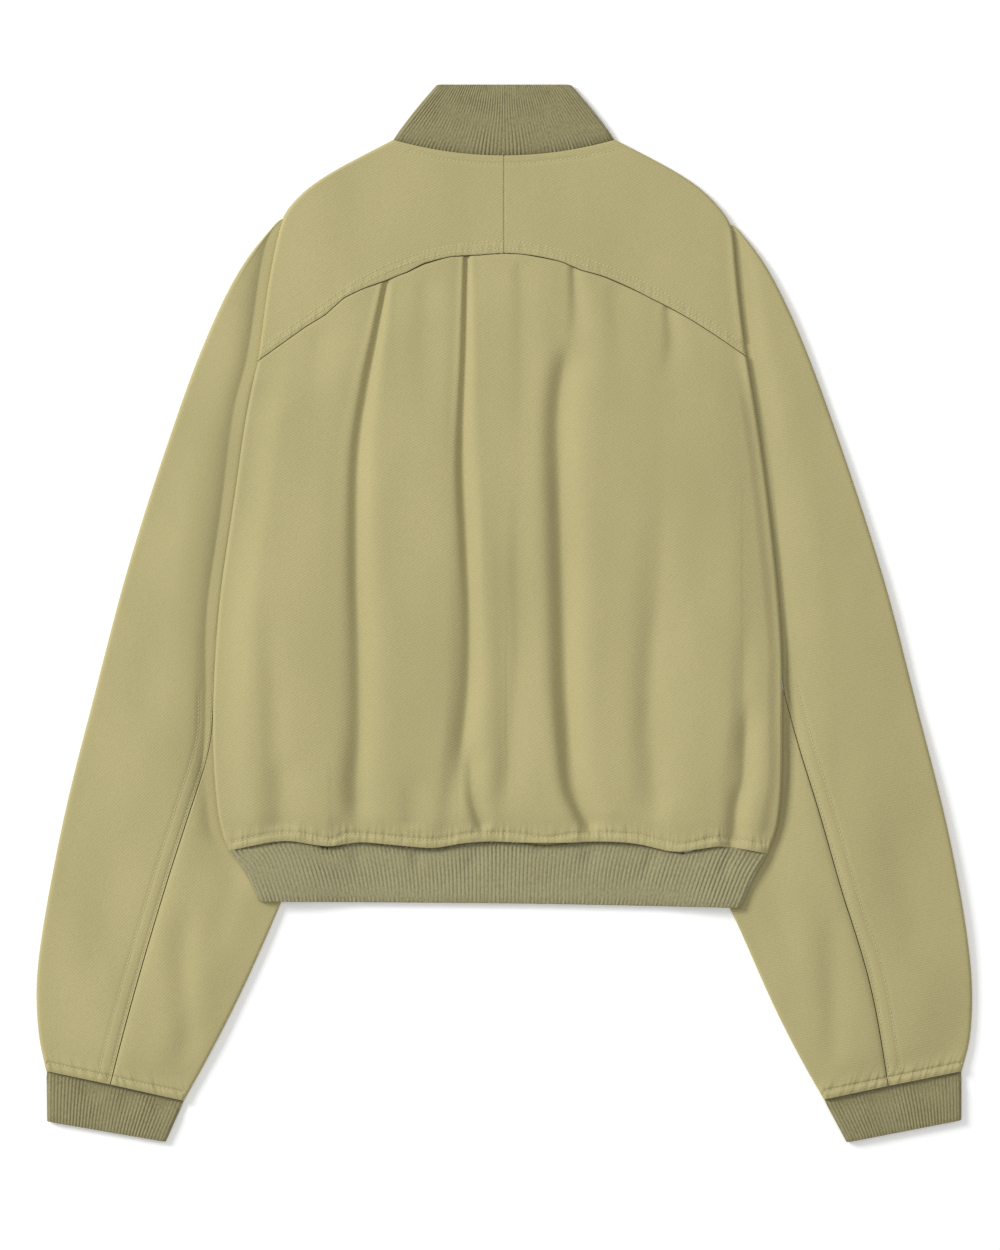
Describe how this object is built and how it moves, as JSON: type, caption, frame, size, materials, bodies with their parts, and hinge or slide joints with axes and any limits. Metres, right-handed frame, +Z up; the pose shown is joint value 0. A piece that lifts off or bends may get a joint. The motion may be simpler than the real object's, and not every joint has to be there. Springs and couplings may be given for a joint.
{
  "type": "bomber jacket",
  "caption": "Cropped bomber jacket laid flat on its front, back uppermost, with a curved back yoke, soft folds, full sleeves and rib knit collar, cuffs and hem.",
  "frame": {"origin": "on the surface it rests on, under the middle of the jacket's bounding box", "axes": "+X to the picture's right, +Y towards the collar, +Z up off the surface, out of the jacket's back"},
  "size_m": [0.7513, 0.8466, 0.0147],
  "materials": {
    "cloth": "matte olive twill",
    "rib_knit": "matte olive rib knit",
    "zip_tape": "matte olive woven tape",
    "zip_metal": "dull grey metal"
  },
  "bodies": {
    "jacket": {"back_panel": "cloth", "back_yoke_left": "cloth", "back_yoke_right": "cloth", "front_left": "cloth", "front_right": "cloth", "sleeve_outer_left": "cloth", "sleeve_under_left": "cloth", "sleeve_outer_right": "cloth", "sleeve_under_right": "cloth", "hem_rib": "rib_knit", "collar_rib": "rib_knit", "cuff_left": "rib_knit", "cuff_right": "rib_knit", "zip_tape_left": "zip_tape", "zip_tape_right": "zip_tape", "zip_chain": "zip_metal", "zip_slider": "zip_metal"},
    "pull": {"zip_pull": "zip_metal"}
  },
  "joints": [
    {"name": "pull_hinge", "type": "hinge", "parent": "jacket", "child": "pull", "pos_m": [0, 0.3506, 0.0013], "axis": [-1, 0, 0], "range_deg": [0, 130]}
  ]
}
